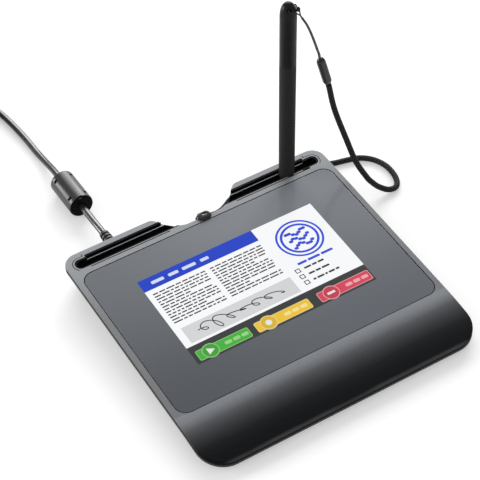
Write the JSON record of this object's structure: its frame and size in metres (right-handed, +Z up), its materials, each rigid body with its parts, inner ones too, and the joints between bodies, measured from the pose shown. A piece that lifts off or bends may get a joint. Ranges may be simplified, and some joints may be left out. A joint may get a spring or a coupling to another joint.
{
  "type": "signature pad",
  "caption": "Counter-top signature pad with a colour display under glass, a palm rest, a tethered pen that stands in its holder, and a USB lead.",
  "frame": {"origin": "on the table under the middle of the housing", "axes": "+X to the right along the front edge, +Y to the rear rail with the pen trays, +Z up"},
  "size_m": [0.2464, 0.3668, 0.1316],
  "materials": {
    "bezel": "fine metallic grey paint",
    "base": "fine matte texture",
    "glass": "smooth, lightly etched",
    "seal": "matte",
    "panel": "smooth",
    "diffuser": "matte",
    "steel": "bright",
    "board": "solder mask",
    "chip": "matte",
    "flex": "satin",
    "tray": "glossy black",
    "pen": "satin black",
    "nib": "smooth",
    "copper": "enamelled wire",
    "rubber": "matte",
    "cable": "smooth, half gloss",
    "ferrite": "half gloss",
    "cord": "braided"
  },
  "bodies": {
    "pad": {"top_shell": "bezel", "bottom_shell": "base", "cover_glass": "glass", "glass_seal": "seal", "lcd_panel": "panel", "lcd_backlight": "diffuser", "lcd_frame": "steel", "sensor_board": "board", "shield_plate": "steel", "display_flex": "flex", "sensor_flex": "flex", "main_board": "board", "processor_chip": "chip", "memory_chip": "chip", "lead_socket": "chip", "board_screw_1": "steel", "board_screw_2": "steel", "board_screw_3": "steel", "board_screw_4": "steel", "case_screw_1": "steel", "case_screw_2": "steel", "case_screw_3": "steel", "case_screw_4": "steel", "case_screw_5": "steel", "case_screw_6": "steel", "foot_rear_left": "rubber", "foot_rear_right": "rubber", "foot_front_left": "rubber", "foot_front_right": "rubber", "pen_tray_left": "tray", "pen_tray_right": "tray", "pen_holder": "base", "tether_anchor": "tray", "tether_cord": "cord", "usb_boot": "cable", "usb_inner_lead": "cable", "usb_cable": "cable", "ferrite_case_upper": "ferrite", "ferrite_case_lower": "ferrite", "ferrite_core": "chip", "usb_coil": "cable", "coil_tie": "cord", "usb_tail": "cable", "usb_plug_grip": "cable", "usb_plug_shell": "steel", "usb_plug_tongue": "chip"},
    "pen": {"pen_barrel": "pen", "pen_cap": "pen", "pen_coil": "copper", "pen_force_sensor": "steel", "pen_board": "board", "tether_clasp": "tray", "tether_string": "cord"},
    "nib": {"pen_nib": "nib"}
  },
  "joints": [
    {"name": "pen_lift", "type": "slide", "parent": "pad", "child": "pen", "axis": [0.0454, 0, 0.999], "range_m": [0, 0.03]},
    {"name": "nib_press", "type": "slide", "parent": "pen", "child": "nib", "axis": [0.0454, 0, 0.999], "range_m": [0, 0.0003], "stiffness_N_per_m": 800}
  ]
}
